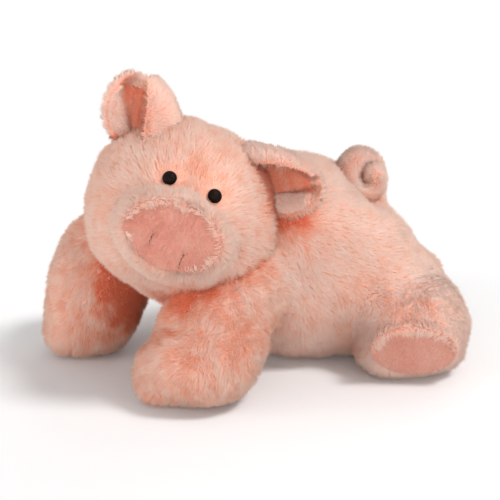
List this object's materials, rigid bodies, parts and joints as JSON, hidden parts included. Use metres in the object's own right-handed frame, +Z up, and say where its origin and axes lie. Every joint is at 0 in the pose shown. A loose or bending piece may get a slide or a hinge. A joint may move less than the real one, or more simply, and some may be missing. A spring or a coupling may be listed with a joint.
{
  "type": "pig pillow",
  "caption": "Plush pig that lies on its belly as a soft cushion: round head turned to one side, broad flat snout, folded ears, stubby legs and a curled tail.",
  "frame": {"origin": "middle of the flat that the floor makes under the belly, on the floor", "axes": "+Z up; the torso points along -Y, with its rump at +Y; +X is the left side of the pig"},
  "size_m": [0.3244, 0.3499, 0.2572],
  "materials": {
    "plush": "long soft pile, brushed",
    "short_pile": "short dense pile",
    "ear_lining": "short dense pile, darker in the hollow",
    "fibre": "loose polyester fibre",
    "black": "polished",
    "nylon": "as moulded"
  },
  "bodies": {
    "torso": {"body_skin": "plush", "body_stuffing": "fibre"},
    "head": {"head_skin": "plush", "head_stuffing": "fibre", "muzzle_skin": "plush", "muzzle_stuffing": "fibre", "nose_pad": "short_pile", "eye_left": "black", "eye_right": "black", "eye_washer_left": "nylon", "eye_washer_right": "nylon"},
    "ear_left": {"ear_back_left": "plush", "ear_lining_left": "ear_lining"},
    "front_leg_left": {"front_leg_skin_left": "plush", "front_leg_stuffing_left": "fibre"},
    "rear_leg_left": {"rear_leg_skin_left": "plush", "rear_leg_stuffing_left": "fibre", "sole_left": "short_pile"},
    "ear_right": {"ear_back_right": "plush", "ear_lining_right": "ear_lining"},
    "front_leg_right": {"front_leg_skin_right": "plush", "front_leg_stuffing_right": "fibre"},
    "rear_leg_right": {"rear_leg_skin_right": "plush", "rear_leg_stuffing_right": "fibre", "sole_right": "short_pile"},
    "tail": {"tail_skin": "plush", "tail_stuffing": "fibre"}
  },
  "joints": [
    {"name": "neck", "type": "hinge", "parent": "torso", "child": "head", "pos_m": [0.014, -0.125, 0.14], "axis": [0, 0, 1], "range_deg": [-16, 1], "stiffness_Nm_per_rad": 0.3},
    {"name": "front_leg_left", "type": "hinge", "parent": "torso", "child": "front_leg_left", "pos_m": [0.056, -0.084, 0.08114], "axis": [1, 0, 0], "range_deg": [-9, 9], "stiffness_Nm_per_rad": 0.4},
    {"name": "front_leg_right", "type": "hinge", "parent": "torso", "child": "front_leg_right", "pos_m": [-0.06, -0.098, 0.10573], "axis": [1, 0, 0], "range_deg": [-9, 9], "stiffness_Nm_per_rad": 0.4},
    {"name": "rear_leg_left", "type": "hinge", "parent": "torso", "child": "rear_leg_left", "pos_m": [0.06, 0.076, 0.0437], "axis": [0, 0, 1], "range_deg": [-12, 12], "stiffness_Nm_per_rad": 0.4},
    {"name": "rear_leg_right", "type": "hinge", "parent": "torso", "child": "rear_leg_right", "pos_m": [-0.06, 0.076, 0.0437], "axis": [0, 0, 1], "range_deg": [-12, 12], "stiffness_Nm_per_rad": 0.4},
    {"name": "ear_left", "type": "hinge", "parent": "head", "child": "ear_left", "pos_m": [0.05277, -0.0645, 0.15996], "axis": [0.3268, 0.0859, -0.9412], "range_deg": [-12, 12], "stiffness_Nm_per_rad": 0.05},
    {"name": "ear_right", "type": "hinge", "parent": "head", "child": "ear_right", "pos_m": [-0.00718, -0.15587, 0.2045], "axis": [-0.5, -0.8241, 0.2663], "range_deg": [-12, 12], "stiffness_Nm_per_rad": 0.05},
    {"name": "tail", "type": "hinge", "parent": "torso", "child": "tail", "pos_m": [0.004, 0.073, 0.095], "axis": [0, 1, 0], "range_deg": [-9, 9], "stiffness_Nm_per_rad": 0.03}
  ]
}
